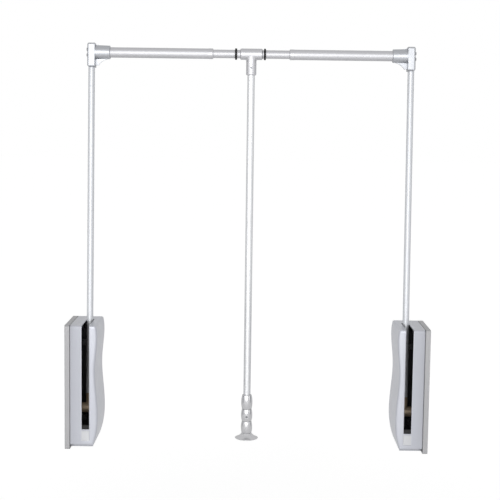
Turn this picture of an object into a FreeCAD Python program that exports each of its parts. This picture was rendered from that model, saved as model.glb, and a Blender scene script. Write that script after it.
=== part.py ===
import FreeCAD, Part
import math
import os

import Sketcher

# Pull down closet rod, in millimetres.
# X runs from the left closet wall to the right one, Y into the closet and Z up.
# The origin is at the bottom of the wall plates, midway between the walls and mid-depth.
# Left-hand pieces are modelled; right-hand ones are their mirror images.

Vector = FreeCAD.Vector

SIZES = {
    # overall
    "overall_width": 775,
    "housing_depth": 130,
    "plate_height": 268,
    # wall plate
    "plate_rim": 10.5,
    "plate_floor": 3,
    "tongue_wall": 1.6,
    "tongue_height": 3.5,
    "plate_corner": 4,
    "wall_screw_hole": 5,
    "wall_screw_spread_y": 96,
    "wall_screw_low_z": 28,
    "wall_screw_top_drop": 40,
    "boss_dia": 20,
    "boss_face_u": 12.5,
    # case
    "case_wall": 2.5,
    "case_lift": 6,
    "seam_gap": 0.8,
    "case_top_u": 66.5,
    "bulge_top_u": 69.3,
    "waist_u": 64.2,
    "bulge_low_u": 70.2,
    "case_foot_u": 59.5,
    "bulge_top_drop": 24,
    "waist_drop": 99,
    "bulge_low_z": 70,
    "case_round": 4.5,
    "case_bevel": 5,
    "case_boss_face_u": 52.5,
    "axle_socket_depth": 9,
    "slot_u": 44,
    "slot_width": 15.5,
    "slot_bottom_z": 44,
    "slot_back_y": 23,
    "slot_lip": 1,
    "pad_width": 17,
    "pad_height": 22,
    "pad_drop": 3,
    "pad_depth": 0.8,
    # case screws
    "screw_shank_dia": 3.5,
    "screw_head_dia": 7,
    "screw_head_depth": 1.8,
    "case_screw_length": 12,
    "case_screw_u": 24,
    "case_screw_low_z": 40,
    "case_screw_top_drop": 58,
    "lug_size": 12,
    # pivot and arm
    "pivot_y": 0,
    "pivot_z": 77,
    "axle_dia": 8,
    "bush_wall": 2,
    "bush_flange": 3,
    "bush_flange_thick": 1.2,
    "bush_length": 11,
    "hub_dia": 22,
    "hub_face_u": 14,
    "hub_length": 37,
    "arm_dia": 14,
    "arm_wall": 1.2,
    "arm_reach": 769.7,
    "arm_lean": 3.2,
    "swing_angle": 108,
    "arm_start": 32,
    "spigot_length": 62,
    "arm_pin_dia": 3,
    "arm_pin_at": 48,
    # toothed drive
    "tooth_module": 1.25,
    "sector_teeth": 32,
    "pinion_teeth": 18,
    "pinion_pitches_up": 13,
    "pressure_angle": 20,
    "tooth_backlash": 0.1,
    "sector_spare_angle": 13,
    "gear_u": 14,
    "gear_width": 8,
    "rack_below": 53,
    "rack_above": 58,
    "rack_back": 9.5,
    "guide_wall": 3,
    "guide_setback": 1,
    "guide_low": 15,
    "guide_length": 86,
    # gas strut
    "strut_rod_dia": 6,
    "strut_rod_seat": 8,
    "strut_rod_length": 65,
    "strut_piston_thick": 4,
    "strut_dia": 15,
    "strut_wall": 1.3,
    "strut_gland": 9,
    "strut_end": 5,
    "strut_lift": 42,
    "strut_headroom": 10,
    "bracket_height": 14,
    "bracket_wall": 3,
    "bracket_seat": 10,
    # rotary damper
    "damper_dia": 26,
    "damper_face_u": 12.5,
    "damper_shaft_dia": 6,
    "damper_ear": 9,
    "damper_ear_thick": 2.5,
    # rubber bumpers
    "bumper_gap": 0.3,
    "bumper_height": 13,
    "bumper_ledge": 6,
    "down_bumper_thick": 8.7,
    # rail connectors
    "block_width": 16,
    "block_depth": 32,
    "block_above": 19,
    "block_below": 32,
    "block_round": 4,
    "cup_length": 32,
    "cup_root_dia": 31,
    "cup_tip_dia": 28.5,
    "cup_lip": 1.5,
    "web_thick": 5,
    "web_round": 27,
    "upper_web_length": 25,
    "upper_web_drop": 2,
    "arm_top_gap": 12,
    "rail_seat": 10,
    "connector_screw_spread": 12,
    "connector_head_dia": 7.4,
    "connector_head_height": 2.8,
    "connector_head_round": 1.6,
    "connector_cross_depth": 1.2,
    "connector_screw_length": 26,
    "plug_length": 26,
    # hanging rail
    "rail_dia": 22,
    "rail_wall": 1.5,
    "rail_gap": 164,
    "collar_length": 10,
    "collar_dia": 22.6,
    "collar_sleeve": 14,
    "collar_round": 2,
    "inner_dia": 18,
    "inner_wall": 1.2,
    "inner_length": 340,
    "ring_dia": 24.6,
    "ring_width": 4.4,
    "ring_at": 31,
    "ring_shift": -2,
    "ring_round": 1.2,
    # tee and pull rod
    "tee_dia": 24,
    "tee_length": 48,
    "tee_stem_dia": 22,
    "tee_stem_drop": 45,
    "tee_round": 2.6,
    "tee_blend": 2.5,
    "rod_top_drop": 20,
    "rod_dia": 16,
    "rod_wall": 1.2,
    "set_screw_dia": 5,
    "set_screw_drop": 29,
    "set_screw_recess": 0.4,
    # handle, heights measured up from the underside of its foot
    "handle_drop": 844.5,
    "handle_height": 99,
    "foot_dia": 53,
    "foot_under_dia": 47,
    "foot_rim_height": 1.6,
    "foot_height": 12.5,
    "foot_round": 0.5,
    "foot_spigot": 12,
    "foot_spigot_dia": 14,
    "flare_mid_dia": 34.6,
    "flare_mid_height": 5.8,
    "lobe_mid_dia": 25,
    "lobe_end_dia": 21.6,
    "lobe_low_top": 39.5,
    "lobe_middle_top": 67,
    "lobe_groove_width": 1.4,
    "lobe_groove_depth": 0.8,
    "grip_top_dia": 20.4,
    "grip_round": 1.5,
    "handle_screw_height": 50,
    "rod_seat_height": 46,
    # fits
    "running_gap": 0.05,
    "slide_gap": 0.1,
    "seat_gap": 0.02,
}

doc = FreeCAD.newDocument("ClosetRod")
sheet = doc.addObject("Spreadsheet::Sheet", "Dim")
for row, (alias, value) in enumerate(SIZES.items(), start=1):
    sheet.set(f"A{row}", alias)
    sheet.set(f"B{row}", str(value))
    sheet.setAlias(f"B{row}", alias)
doc.recompute()

ALONG_X = FreeCAD.Rotation(Vector(0, 1, 0), 90)
ALONG_Y = FreeCAD.Rotation(Vector(1, 0, 0), -90)
ALONG_Z = FreeCAD.Rotation()
LEANING = FreeCAD.Rotation(Vector(-1, 0, 0), 1)

# Places that several pieces share, as formulas on the sheet.
HALF_DEPTH = "Dim.housing_depth / 2"
TONGUE_EDGE = "(Dim.case_wall + Dim.slide_gap)"
PITCH_Y = "(Dim.pivot_y + Dim.tooth_module * Dim.sector_teeth / 2)"
RACK_BACK_Y = f"({PITCH_Y} + 1.25 * Dim.tooth_module + Dim.rack_back)"
STRUT_Y = f"({RACK_BACK_Y} - Dim.rack_back / 2)"
STRUT_U = "(Dim.gear_u + Dim.gear_width / 2)"
RACK_TOP_Z = "(Dim.pivot_z + Dim.rack_above)"
PINION_Y = f"({PITCH_Y} - Dim.tooth_module * Dim.pinion_teeth / 2)"
PINION_Z = "(Dim.pivot_z + Dim.pinion_pitches_up * pi * Dim.tooth_module)"
RAIL_Y = "(Dim.pivot_y + Dim.arm_reach * sin(Dim.arm_lean))"
RAIL_Z = "(Dim.pivot_z + Dim.arm_reach * cos(Dim.arm_lean))"
LEFT_WALL = "-Dim.overall_width / 2"
CASE_SCREW_Z = ("Dim.case_screw_low_z", "(Dim.plate_height - Dim.case_screw_top_drop)")
COLLAR_END = "(Dim.overall_width / 2 - Dim.slot_u - Dim.rail_gap / 2)"
TUBE_END = f"({COLLAR_END} - Dim.collar_length)"

finished = {}


def size(alias):
    """A driving dimension, read back from the sheet."""
    return float(sheet.get(alias))


def bind(item, **formulas):
    """Tie an object's properties to the sheet."""
    for prop, formula in formulas.items():
        item.setExpression(prop, formula)
    return item


def place(item, x="0", y="0", z="0", turn=ALONG_Z):
    """Put an object at a bound place, turned to an axis."""
    item.Placement = FreeCAD.Placement(Vector(), turn)
    for axis, formula in zip("xyz", (x, y, z)):
        item.setExpression(f"Placement.Base.{axis}", formula)
    return item


def box(name, low, high):
    """A block between two corners."""
    item = doc.addObject("Part::Box", name)
    bind(item, Length=f"({high[0]}) - ({low[0]})")
    bind(item, Width=f"({high[1]}) - ({low[1]})", Height=f"({high[2]}) - ({low[2]})")
    return place(item, *low)


def rod(name, dia, length, at, turn=ALONG_X):
    """A round bar that starts at a point."""
    item = doc.addObject("Part::Cylinder", name)
    bind(item, Radius=f"({dia}) / 2", Height=length)
    return place(item, *at, turn)


def taper(name, start_dia, end_dia, length, at, turn=ALONG_X):
    """A round bar whose diameter changes along its length."""
    item = doc.addObject("Part::Cone", name)
    bind(item, Radius1=f"({start_dia}) / 2", Radius2=f"({end_dia}) / 2", Height=length)
    return place(item, *at, turn)


def fuse(name, *items):
    """Several objects made into one, or one group where they don't meet."""
    joined = doc.addObject("Part::MultiFuse", name)
    joined.Shapes = list(items)
    joined.Refine = True
    return joined


def cut(name, base, *tools):
    """An object with others taken out of it."""
    for number, tool in enumerate(tools, start=1):
        trimmed = doc.addObject("Part::Cut", f"{name}_cut{number}")
        trimmed.Base = base
        trimmed.Tool = tool
        trimmed.Refine = True
        base = trimmed
    return base


def finish(item, label):
    """Name an object as a finished piece."""
    item.Label = label
    finished[label] = item
    return item


def on_left_wall(item, label):
    """Seat a piece modelled from the wall face onto the left wall."""
    return finish(place(item, LEFT_WALL), label)


def on_arm(item, label):
    """Seat a piece modelled about the pivot onto the leaning left arm."""
    place(item, f"Dim.slot_u {LEFT_WALL}", "Dim.pivot_y", "Dim.pivot_z", LEANING)
    item.setExpression("Placement.Rotation.Angle", "Dim.arm_lean")
    return finish(item, label)


def on_arm_top(item, label):
    """Seat a piece modelled about the rail's axis onto the top of the left arm."""
    place(item, f"Dim.slot_u {LEFT_WALL}", RAIL_Y, RAIL_Z, LEANING)
    item.setExpression("Placement.Rotation.Angle", "Dim.arm_lean")
    return finish(item, label)


def on_rail(item, label):
    """Seat a piece modelled about the rail's axis at mid-width."""
    return finish(place(item, "0", RAIL_Y, RAIL_Z), label)


def new_body(name):
    return doc.addObject("PartDesign::Body", name)


def new_sketch(body, name, role, offset=None):
    """A sketch on one of a body's own planes, moved along its normal by a formula."""
    sketch = body.newObject("Sketcher::SketchObject", name)
    plane = [item for item in body.Origin.OriginFeatures if item.Role == role][0]
    sketch.AttachmentSupport = [(plane, "")]
    sketch.MapMode = "FlatFace"
    if offset:
        sketch.setExpression("AttachmentOffset.Base.z", offset)
    return sketch


def hold_point(sketch, item, end, across, up):
    """Hold a sketch point at bound distances from the origin."""
    for kind, formula in (("DistanceX", across), ("DistanceY", up)):
        number = sketch.addConstraint(Sketcher.Constraint(kind, -1, 1, item, end, 1.0))
        sketch.setExpression(f"Constraints[{number}]", formula)


def draw_polygon(sketch, corners):
    """Straight sides through bound corners, closed."""
    count = len(corners)
    start = sketch.GeometryCount
    ring = [Part.Circle(Vector(), Vector(0, 0, 1), 10).value(2 * math.pi * n / count) for n in range(count)]
    for number in range(count):
        sketch.addGeometry(Part.LineSegment(ring[number], ring[(number + 1) % count]))
    for number, (across, up) in enumerate(corners):
        following = start + (number + 1) % count
        sketch.addConstraint(Sketcher.Constraint("Coincident", start + number, 2, following, 1))
        hold_point(sketch, start + number, 1, across, up)
    return sketch


def draw_rectangle(sketch, low, high):
    return draw_polygon(sketch, [low, (high[0], low[1]), high, (low[0], high[1])])


def draw_circle(sketch, dia, across="0", up="0"):
    number = sketch.addGeometry(Part.Circle(Vector(), Vector(0, 0, 1), 5))
    hold_point(sketch, number, 3, across, up)
    rule = sketch.addConstraint(Sketcher.Constraint("Radius", number, 5))
    sketch.setExpression(f"Constraints[{rule}]", f"({dia}) / 2")
    return sketch


def extrude(body, name, sketch, length, kind="Pad", both_ways=False, backwards=False):
    """A pad or pocket of a sketch, which has to change the body's volume."""
    doc.recompute()
    before = body.Tip.Shape.Volume if body.Tip else 0
    feature = body.newObject(f"PartDesign::{kind}", name)
    feature.Profile = sketch
    feature.Midplane = both_ways
    feature.Reversed = backwards
    bind(feature, Length=length)
    doc.recompute()
    change = feature.Shape.Volume - before
    if (change > 0) != (kind == "Pad") or change == 0:
        raise RuntimeError(f"{name} changed the volume by {change}")
    return feature


def turned(name, profile, axis="H_Axis"):
    """A body of revolution about X (H_Axis) or Z (V_Axis), from a polygon in the XZ plane."""
    body = new_body(name)
    sketch = draw_polygon(new_sketch(body, f"{name}_profile", "XZ_Plane"), profile)
    return revolve(body, name, sketch, axis)


def turned_curve(name, start, *steps):
    """A body of revolution about Z, from lines and arcs through (radius, height) points.

    A step of two points is an arc through the first to the second.
    """
    body = new_body(name)
    sketch = new_sketch(body, f"{name}_profile", "XZ_Plane")
    here = Vector(*start)
    for step in steps + (start,):
        if isinstance(step[0], tuple):
            there = Vector(*step[1])
            sketch.addGeometry(Part.Arc(here, Vector(*step[0]), there))
        else:
            there = Vector(*step)
            sketch.addGeometry(Part.LineSegment(here, there))
        here = there
    return revolve(body, name, sketch, "V_Axis")


def revolve(body, name, sketch, axis):
    feature = body.newObject("PartDesign::Revolution", f"{name}_turn")
    feature.Profile = sketch
    feature.ReferenceAxis = (sketch, [axis])
    feature.Angle = 360
    doc.recompute()
    return body


def dress(body, name, kind, amount, chosen):
    """Round or bevel the edges of a body that a test picks out."""
    doc.recompute()
    base = body.Tip
    names = [f"Edge{n}" for n, edge in enumerate(base.Shape.Edges, start=1) if chosen(edge)]
    if not names:
        raise RuntimeError(f"{name} found no edges")
    feature = body.newObject(f"PartDesign::{kind}", name)
    feature.Base = (base, names)
    bind(feature, **{"Radius" if kind == "Fillet" else "Size": amount})
    doc.recompute()
    return feature


def near(value, target):
    return abs(value - target) < 0.01


def lies_at(edge, axis, target):
    """Whether every point of an edge has one coordinate."""
    bounds = edge.BoundBox
    low = getattr(bounds, f"{axis.upper()}Min")
    high = getattr(bounds, f"{axis.upper()}Max")
    return near(low, target) and near(high, target)


def rim(axis, place_at, dia):
    """A test for the circular edges of one diameter at one place along an axis."""
    def chosen(edge):
        round_edge = isinstance(edge.Curve, Part.Circle) and near(edge.Curve.Radius, dia / 2)
        return round_edge and lies_at(edge, axis, place_at)
    return chosen


def tube_profile(start, end, outer, bore):
    """Corners of a plain tube: distances along the axis, then radii."""
    return [
        (start, f"({bore}) / 2"),
        (end, f"({bore}) / 2"),
        (end, f"({outer}) / 2"),
        (start, f"({outer}) / 2"),
    ]


def upright(profile):
    """The same corners for a piece that stands along Z."""
    return [(radius, along) for along, radius in profile]


# Wall plate: a shallow tray with a tongue that the case slides over.

def wall_plate():
    body = new_body("wall_plate")
    sketch = new_sketch(body, "plate_outline", "YZ_Plane")
    draw_rectangle(sketch, (f"-{HALF_DEPTH}", "0"), (HALF_DEPTH, "Dim.plate_height"))
    extrude(body, "plate_block", sketch, "Dim.plate_rim")
    dress(body, "plate_corners", "Fillet", "Dim.plate_corner", along_x)

    sketch = new_sketch(body, "tongue_outline", "YZ_Plane", "Dim.plate_rim")
    inset = TONGUE_EDGE
    draw_rectangle(
        sketch,
        (f"-{HALF_DEPTH} + {inset}", f"Dim.case_lift + {inset}"),
        (f"{HALF_DEPTH} - {inset}", f"Dim.plate_height - {inset}"),
    )
    extrude(body, "tongue", sketch, "Dim.tongue_height")

    sketch = new_sketch(body, "tray_outline", "YZ_Plane", "Dim.plate_rim + Dim.tongue_height")
    inset = f"({TONGUE_EDGE} + Dim.tongue_wall)"
    draw_rectangle(
        sketch,
        (f"-{HALF_DEPTH} + {inset}", f"Dim.case_lift + {inset}"),
        (f"{HALF_DEPTH} - {inset}", f"Dim.plate_height - {inset}"),
    )
    depth = "Dim.plate_rim + Dim.tongue_height - Dim.plate_floor"
    extrude(body, "tray", sketch, depth, "Pocket")

    sketch = new_sketch(body, "pivot_boss_outline", "YZ_Plane", "Dim.plate_floor")
    draw_circle(sketch, "Dim.boss_dia", "Dim.pivot_y", "Dim.pivot_z")
    extrude(body, "pivot_boss", sketch, "Dim.boss_face_u - Dim.plate_floor")

    for number in range(2):
        sketch = new_sketch(body, f"lug_outline{number}", "YZ_Plane", "Dim.plate_floor")
        middle = CASE_SCREW_Z[number]
        back = f"{HALF_DEPTH} - Dim.case_wall - Dim.slide_gap"
        draw_rectangle(
            sketch,
            (f"{back} - Dim.lug_size", f"{middle} - Dim.lug_size / 2"),
            (back, f"{middle} + Dim.lug_size / 2"),
        )
        extrude(body, f"lug{number}", sketch, "Dim.case_screw_u + Dim.lug_size / 2 - Dim.plate_floor")

    sketch = new_sketch(body, "wall_screw_holes", "YZ_Plane", "Dim.plate_floor")
    for across in ("-1", "1"):
        for up in ("Dim.wall_screw_low_z", "Dim.plate_height - Dim.wall_screw_top_drop"):
            draw_circle(sketch, "Dim.wall_screw_hole", f"{across} * Dim.wall_screw_spread_y / 2", up)
    extrude(body, "wall_screw_bores", sketch, "Dim.plate_floor", "Pocket")

    sketch = new_sketch(body, "axle_hole", "YZ_Plane", "Dim.boss_face_u")
    draw_circle(sketch, "Dim.axle_dia + 2 * Dim.seat_gap", "Dim.pivot_y", "Dim.pivot_z")
    extrude(body, "axle_seat", sketch, "Dim.boss_face_u - Dim.plate_floor", "Pocket")
    tapped = [lug_bore(number) for number in range(2)]
    return on_left_wall(cut("wall_plate", body, *tapped), "left_wall_plate")


def along_x(edge):
    return len(edge.Vertexes) == 2 and near(edge.BoundBox.YLength, 0) and near(edge.BoundBox.ZLength, 0)


def lug_bore(number):
    """Hole in a lug for a case screw."""
    length = "Dim.case_screw_length"
    start = f"{HALF_DEPTH} - Dim.case_screw_length"
    dia = "Dim.screw_shank_dia + 2 * Dim.seat_gap"
    return rod(f"lug_bore{number}", dia, length, ("Dim.case_screw_u", start, CASE_SCREW_Z[number]), ALONG_Y)


# Case: a shell with a wavy inner side, open towards the wall plate.

def wave(inset):
    """The wavy side, from top to foot, moved in by a wall."""
    top = size("plate_height") - inset
    foot = size("case_lift") + inset
    stations = [
        (size("case_top_u"), top, Vector(1, -3, 0), False),
        (size("bulge_top_u"), size("plate_height") - size("bulge_top_drop"), Vector(0, -1, 0), True),
        (size("waist_u"), size("plate_height") - size("waist_drop"), Vector(0, -1, 0), True),
        (size("bulge_low_u"), size("bulge_low_z"), Vector(0, -1, 0), True),
        (size("case_foot_u"), foot, Vector(-1, -3, 0), False),
    ]
    curve = Part.BSplineCurve()
    curve.interpolate(
        Points=[Vector(u - inset, z, 0) for u, z, _, _ in stations],
        Tangents=[tangent for _, _, tangent, _ in stations],
        TangentFlags=[held for _, _, _, held in stations],
    )
    return curve


def case_profile(body, name, start, inset):
    """Closed outline of the case seen from the front: three straight sides and the wave."""
    curve = wave(inset)
    top = curve.StartPoint
    foot = curve.EndPoint
    sketch = new_sketch(body, name, "XZ_Plane")
    sketch.addGeometry(Part.LineSegment(Vector(start, foot.y, 0), Vector(start, top.y, 0)))
    sketch.addGeometry(Part.LineSegment(Vector(start, top.y, 0), top))
    sketch.addGeometry(curve)
    sketch.addGeometry(Part.LineSegment(foot, Vector(start, foot.y, 0)))
    return sketch


def case():
    front = -size("housing_depth") / 2
    top = size("plate_height")
    foot = size("case_lift")
    start = size("plate_rim") + size("seam_gap")
    wall = size("case_wall")
    side = [size("slot_u") - size("slot_width") / 2, size("slot_u") + size("slot_width") / 2]

    body = new_body("case")
    outer = case_profile(body, "case_outline", start, 0)
    extrude(body, "case_block", outer, "Dim.housing_depth", "Pad", True)

    def bottom_edge(edge):
        return lies_at(edge, "z", foot) and near(abs(edge.BoundBox.Center.y), -front)

    def outer_edge(edge):
        if lies_at(edge, "x", start):
            return False
        across = near(abs(edge.BoundBox.Center.y), -front) and near(edge.BoundBox.YLength, 0)
        return across or (lies_at(edge, "z", top) and edge.BoundBox.YLength > -front)

    dress(body, "case_bevels", "Chamfer", "Dim.case_bevel", bottom_edge)
    dress(body, "case_rounds", "Fillet", "Dim.case_round", outer_edge)

    inner = case_profile(body, "cavity_outline", start - wall, wall)
    extrude(body, "cavity", inner, "Dim.housing_depth - 2 * Dim.case_wall", "Pocket", True)

    sketch = new_sketch(body, "slot_outline", "YZ_Plane", "Dim.slot_u")
    inside_front = f"-{HALF_DEPTH} + 2 * Dim.case_wall"
    inside_top = "Dim.plate_height - 2 * Dim.case_wall"
    beyond = "Dim.case_wall"
    draw_polygon(
        sketch,
        [
            (f"-{HALF_DEPTH} - {beyond}", "Dim.slot_bottom_z"),
            (inside_front, "Dim.slot_bottom_z"),
            (inside_front, inside_top),
            ("Dim.slot_back_y", inside_top),
            ("Dim.slot_back_y", f"Dim.plate_height + {beyond}"),
            (f"-{HALF_DEPTH} - {beyond}", f"Dim.plate_height + {beyond}"),
        ],
    )
    extrude(body, "slot", sketch, "Dim.slot_width", "Pocket", True)

    def slot_edge(edge):
        on_side = any(lies_at(edge, "x", x) for x in side)
        bounds = edge.BoundBox
        outside = bounds.YMax < front + size("case_round") + 0.01 and bounds.ZLength > wall + 1
        return on_side and (near(bounds.YMin, front) and outside or lies_at(edge, "z", top))

    dress(body, "slot_lips", "Fillet", "Dim.slot_lip", slot_edge)

    sketch = new_sketch(body, "pad_outline", "XZ_Plane", HALF_DEPTH)
    pad_top = "Dim.slot_bottom_z - Dim.pad_drop"
    draw_rectangle(
        sketch,
        ("Dim.slot_u - Dim.pad_width / 2", f"{pad_top} - Dim.pad_height"),
        ("Dim.slot_u + Dim.pad_width / 2", pad_top),
    )
    extrude(body, "pad", sketch, "Dim.pad_depth", "Pocket")

    sketch = new_sketch(body, "socket_outline", "YZ_Plane", "Dim.case_boss_face_u")
    draw_circle(sketch, "Dim.boss_dia", "Dim.pivot_y", "Dim.pivot_z")
    extrude(body, "socket_boss", sketch, "Dim.bulge_low_u - Dim.case_wall / 2 - Dim.case_boss_face_u")
    sketch = new_sketch(body, "socket_bore", "YZ_Plane", "Dim.case_boss_face_u")
    draw_circle(sketch, "Dim.axle_dia + 2 * Dim.seat_gap", "Dim.pivot_y", "Dim.pivot_z")
    extrude(body, "socket", sketch, "Dim.axle_socket_depth", "Pocket", backwards=True)

    sinks = [screw_sink(number) for number in range(2)]
    return on_left_wall(cut("case", body, *sinks), "left_case")


def screw_sink(number):
    """Countersunk hole through the rear wall of the case."""
    middle = CASE_SCREW_Z[number]
    length = "(Dim.screw_head_depth + Dim.slide_gap)"
    at = ("Dim.case_screw_u", f"{HALF_DEPTH} - {length}", middle)
    shank = "Dim.screw_shank_dia + 2 * Dim.slide_gap"
    head = taper(f"sink{number}", shank, "Dim.screw_head_dia + 2 * Dim.slide_gap", length, at, ALONG_Y)
    back = f"{HALF_DEPTH} - 2 * Dim.case_wall"
    hole = rod(f"sink_hole{number}", shank, "2 * Dim.case_wall", ("Dim.case_screw_u", back, middle), ALONG_Y)
    return fuse(f"sink_tool{number}", head, hole)


def case_screws():
    screws = []
    for number in range(2):
        middle = CASE_SCREW_Z[number]
        start = f"{HALF_DEPTH} - Dim.case_screw_length"
        at = ("Dim.case_screw_u", start, middle)
        shank = rod(f"case_shank{number}", "Dim.screw_shank_dia", "Dim.case_screw_length", at, ALONG_Y)
        at = ("Dim.case_screw_u", f"{HALF_DEPTH} - Dim.screw_head_depth", middle)
        depth = "Dim.screw_head_depth"
        head = taper(f"case_head{number}", "Dim.screw_shank_dia", "Dim.screw_head_dia", depth, at, ALONG_Y)
        screws.append(cross_slot(f"case_screw{number}", fuse(f"case_solid{number}", shank, head), middle))
    on_left_wall(fuse("case_screws", *screws), "left_case_screws")


def cross_slot(name, screw, middle):
    """A cross recess in the head of a case screw."""
    long_arm = "Dim.screw_head_dia / 3"
    thin_arm = "Dim.screw_head_dia / 14"
    depth = "Dim.screw_head_depth / 2"
    tools = []
    for number, (wide, tall) in enumerate(((long_arm, thin_arm), (thin_arm, long_arm))):
        low = (f"Dim.case_screw_u - {wide}", f"{HALF_DEPTH} - {depth}", f"{middle} - {tall}")
        high = (f"Dim.case_screw_u + {wide}", f"{HALF_DEPTH} + {depth}", f"{middle} + {tall}")
        tools.append(box(f"{name}_arm{number}", low, high))
    return cut(name, screw, *tools)


# Pivot: a fixed axle, two flanged bushes and the lever that carries the arm.

def pivot():
    at = (f"Dim.plate_floor {LEFT_WALL}", "Dim.pivot_y", "Dim.pivot_z")
    length = "Dim.case_boss_face_u + Dim.axle_socket_depth - Dim.slide_gap - Dim.plate_floor"
    finish(rod("pivot_axle", "Dim.axle_dia", length, at), "left_pivot_axle")

    bushes = []
    bore = "(Dim.axle_dia + 2 * Dim.running_gap)"
    outer = "(Dim.axle_dia + 2 * Dim.bush_wall)"
    hub_end = "Dim.hub_face_u + Dim.hub_length"
    for number, (flange_u, sleeve_u) in enumerate(
        (
            ("Dim.hub_face_u - Dim.bush_flange_thick", "Dim.hub_face_u"),
            (hub_end, f"{hub_end} - Dim.bush_length"),
        )
    ):
        flange = rod(
            f"bush_flange{number}",
            f"{outer} + 2 * Dim.bush_flange",
            "Dim.bush_flange_thick",
            (flange_u, "Dim.pivot_y", "Dim.pivot_z"),
        )
        sleeve_at = (sleeve_u, "Dim.pivot_y", "Dim.pivot_z")
        sleeve = rod(f"bush_sleeve{number}", outer, "Dim.bush_length", sleeve_at)
        through = f"{hub_end} + Dim.bush_length"
        hole = rod(f"bush_hole{number}", bore, through, ("0", "Dim.pivot_y", "Dim.pivot_z"))
        bushes.append(cut(f"bush{number}", fuse(f"bush_solid{number}", flange, sleeve), hole))
    on_left_wall(fuse("pivot_bushes", *bushes), "left_pivot_bushes")


def polar(radius, angle):
    return Vector(0, radius * math.cos(angle), radius * math.sin(angle))


def tooth_half_angle(teeth, radius):
    """Half the angle that an involute tooth fills at a radius."""
    pitch_radius = size("tooth_module") * teeth / 2
    base_radius = pitch_radius * math.cos(math.radians(size("pressure_angle")))
    thickness = math.pi * size("tooth_module") / 2 - 2 * size("tooth_backlash")

    def involute(at):
        lean = math.acos(min(1, base_radius / at))
        return math.tan(lean) - lean

    return thickness / (2 * pitch_radius) + involute(pitch_radius) - involute(max(radius, base_radius))


def gear_edges(teeth, numbers):
    """Outline of involute teeth centred on multiples of the tooth pitch."""
    module = size("tooth_module")
    pitch_radius = module * teeth / 2
    base_radius = pitch_radius * math.cos(math.radians(size("pressure_angle")))
    root = pitch_radius - 1.25 * module
    tip = pitch_radius + module
    foot = max(root + 0.05 * module, base_radius)
    middle = (foot + tip) / 2
    step = 2 * math.pi / teeth
    half = {radius: tooth_half_angle(teeth, radius) for radius in (foot, middle, tip)}
    edges = []
    for number in numbers:
        centre = number * step
        rising = [polar(radius, centre - half[radius]) for radius in (foot, middle, tip)]
        falling = [polar(radius, centre + half[radius]) for radius in (tip, middle, foot)]
        root_start = polar(root, centre - half[foot])
        root_end = polar(root, centre + half[foot])
        edges.append(Part.LineSegment(root_start, rising[0]))
        edges.append(Part.Arc(*rising))
        edges.append(Part.Arc(rising[2], polar(tip, centre), falling[0]))
        edges.append(Part.Arc(*falling))
        edges.append(Part.LineSegment(falling[2], root_end))
        if number != numbers[-1] or len(numbers) == teeth:
            next_start = polar(root, centre + step - half[foot])
            edges.append(Part.Arc(root_end, polar(root, centre + step / 2), next_start))
    return edges


def toothed(name, edges, width):
    """A toothed disc or slice with its axis on X."""
    wire = Part.Wire(Part.__sortEdges__([edge.toShape() for edge in edges]))
    feature = doc.addObject("Part::Feature", name)
    feature.Shape = Part.Face(wire).extrude(Vector(width, 0, 0))
    return feature


def sector():
    """Teeth over the part of the lever that meets the rack during the swing."""
    teeth = int(size("sector_teeth"))
    step = 360 / teeth
    spare = size("sector_spare_angle")
    first = -round((size("swing_angle") + spare) / step)
    last = round(spare / step)
    numbers = list(range(first, last + 1))
    edges = gear_edges(teeth, numbers)
    edges.append(Part.LineSegment(edges[-1].EndPoint, Vector()))
    edges.append(Part.LineSegment(Vector(), edges[0].StartPoint))
    feature = toothed("sector", edges, size("gear_width"))
    return place(feature, "Dim.gear_u", "Dim.pivot_y", "Dim.pivot_z")


def leaning_rod(name, dia, start, length):
    """A bar along the arm, in the frame of the wall."""
    at = (
        "Dim.slot_u",
        f"Dim.pivot_y + ({start}) * sin(Dim.arm_lean)",
        f"Dim.pivot_z + ({start}) * cos(Dim.arm_lean)",
    )
    item = rod(name, dia, length, at, LEANING)
    item.setExpression("Placement.Rotation.Angle", "Dim.arm_lean")
    return item


def swing_lever():
    hub = rod("hub", "Dim.hub_dia", "Dim.hub_length", ("Dim.hub_face_u", "Dim.pivot_y", "Dim.pivot_z"))
    collar = leaning_rod("lever_collar", "Dim.arm_dia", "0", "Dim.arm_start - Dim.slide_gap")
    spigot_dia = "Dim.arm_dia - 2 * Dim.arm_wall - 2 * Dim.seat_gap"
    spigot = leaning_rod("lever_spigot", spigot_dia, "0", "Dim.spigot_length")
    solid = fuse("lever_solid", hub, sector(), collar, spigot)
    bore_dia = "Dim.axle_dia + 2 * Dim.bush_wall + 2 * Dim.seat_gap"
    bore = rod("lever_bore", bore_dia, "Dim.overall_width / 2", ("0", "Dim.pivot_y", "Dim.pivot_z"))
    at = (
        "Dim.slot_u - Dim.arm_dia",
        "Dim.pivot_y + Dim.arm_pin_at * sin(Dim.arm_lean)",
        "Dim.pivot_z + Dim.arm_pin_at * cos(Dim.arm_lean)",
    )
    pin_hole = rod("lever_pin_hole", "Dim.arm_pin_dia + 2 * Dim.seat_gap", "2 * Dim.arm_dia", at)
    on_left_wall(cut("swing_lever", solid, bore, pin_hole), "left_swing_lever")


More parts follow.
